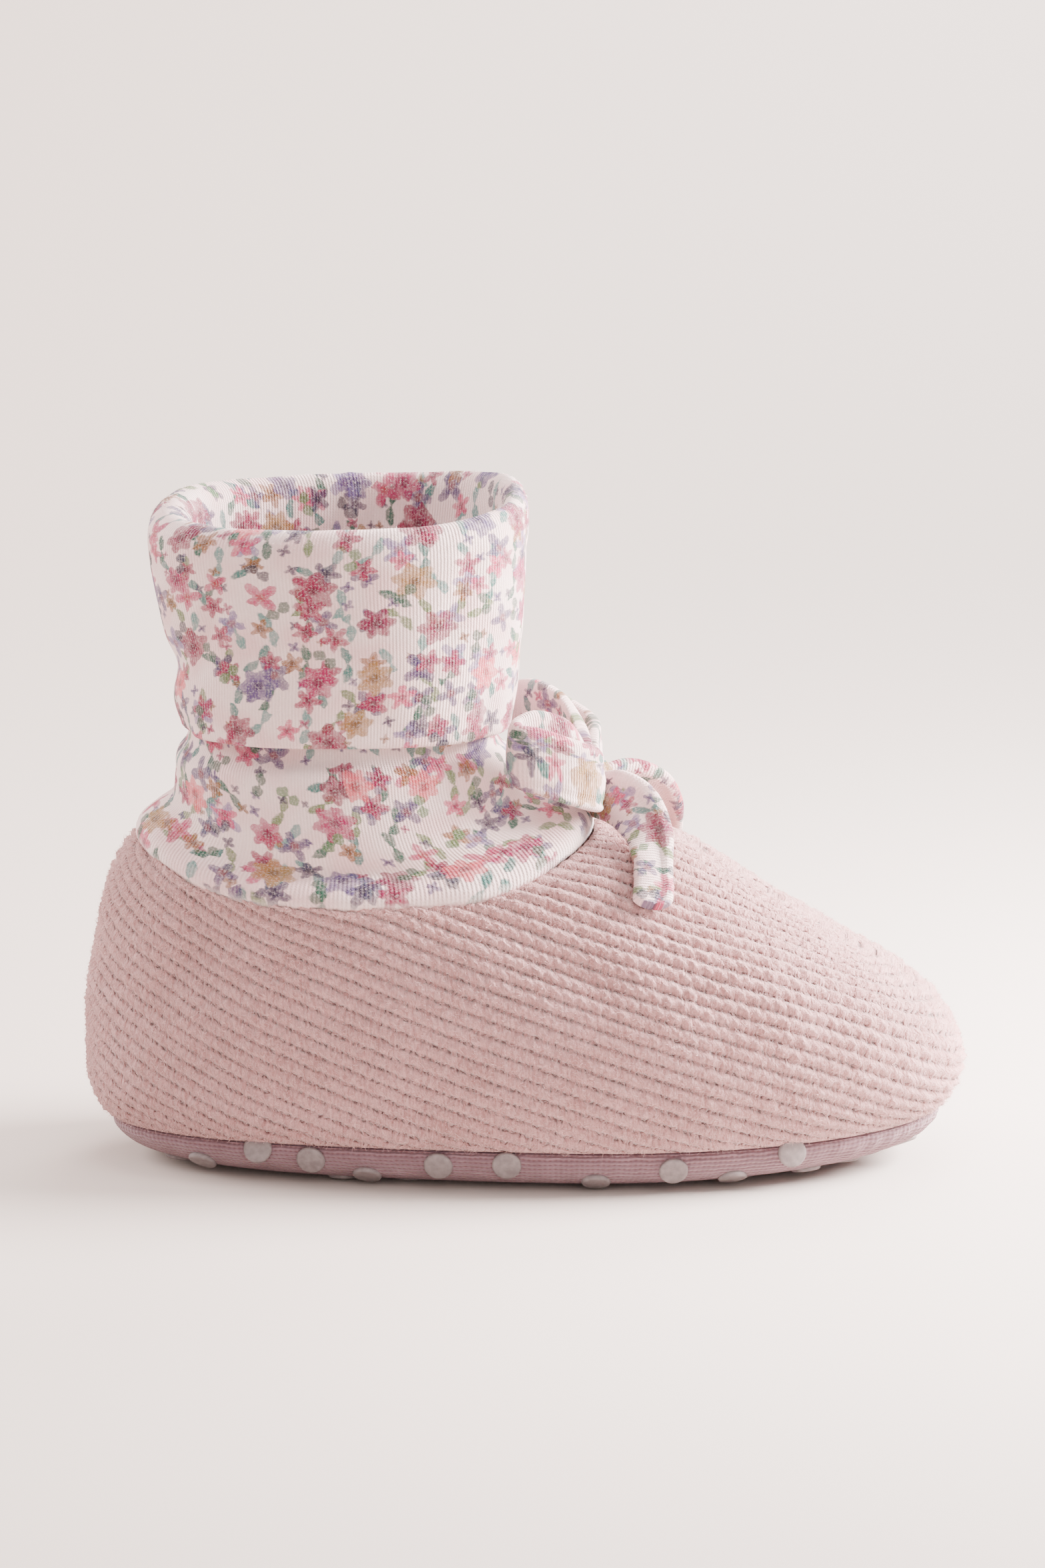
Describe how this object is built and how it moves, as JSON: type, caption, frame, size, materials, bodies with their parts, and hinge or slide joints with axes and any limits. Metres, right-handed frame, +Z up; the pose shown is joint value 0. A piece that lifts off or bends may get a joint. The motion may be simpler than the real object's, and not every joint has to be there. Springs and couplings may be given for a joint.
{
  "type": "bootie slipper",
  "caption": "Child's soft bootie slipper with a padded upper, a sock shaft turned down as a cuff, a soft sole with grip dots and a ribbon bow at the throat.",
  "frame": {"origin": "on the ground below the middle of the slipper's outer length and width", "axes": "+X from heel to toe, +Y to the wearer's left, +Z up from the sole to the rim"},
  "size_m": [0.15, 0.067, 0.1148],
  "materials": {
    "sole_jersey": "matte fine jersey with printed grip dots",
    "insole_fleece": "brushed fleece",
    "ribbed_fleece": "brushed, padded, in narrow ribs",
    "printed_jersey": "matte interlock jersey with a small floral print"
  },
  "bodies": {
    "root": {"outsole": "sole_jersey", "insole": "insole_fleece", "upper": "ribbed_fleece", "shaft": "printed_jersey", "bow_knot": "printed_jersey", "bow_loop_right": "printed_jersey", "bow_tail_right": "printed_jersey", "bow_loop_left": "printed_jersey", "bow_tail_left": "printed_jersey"}
  },
  "joints": []
}
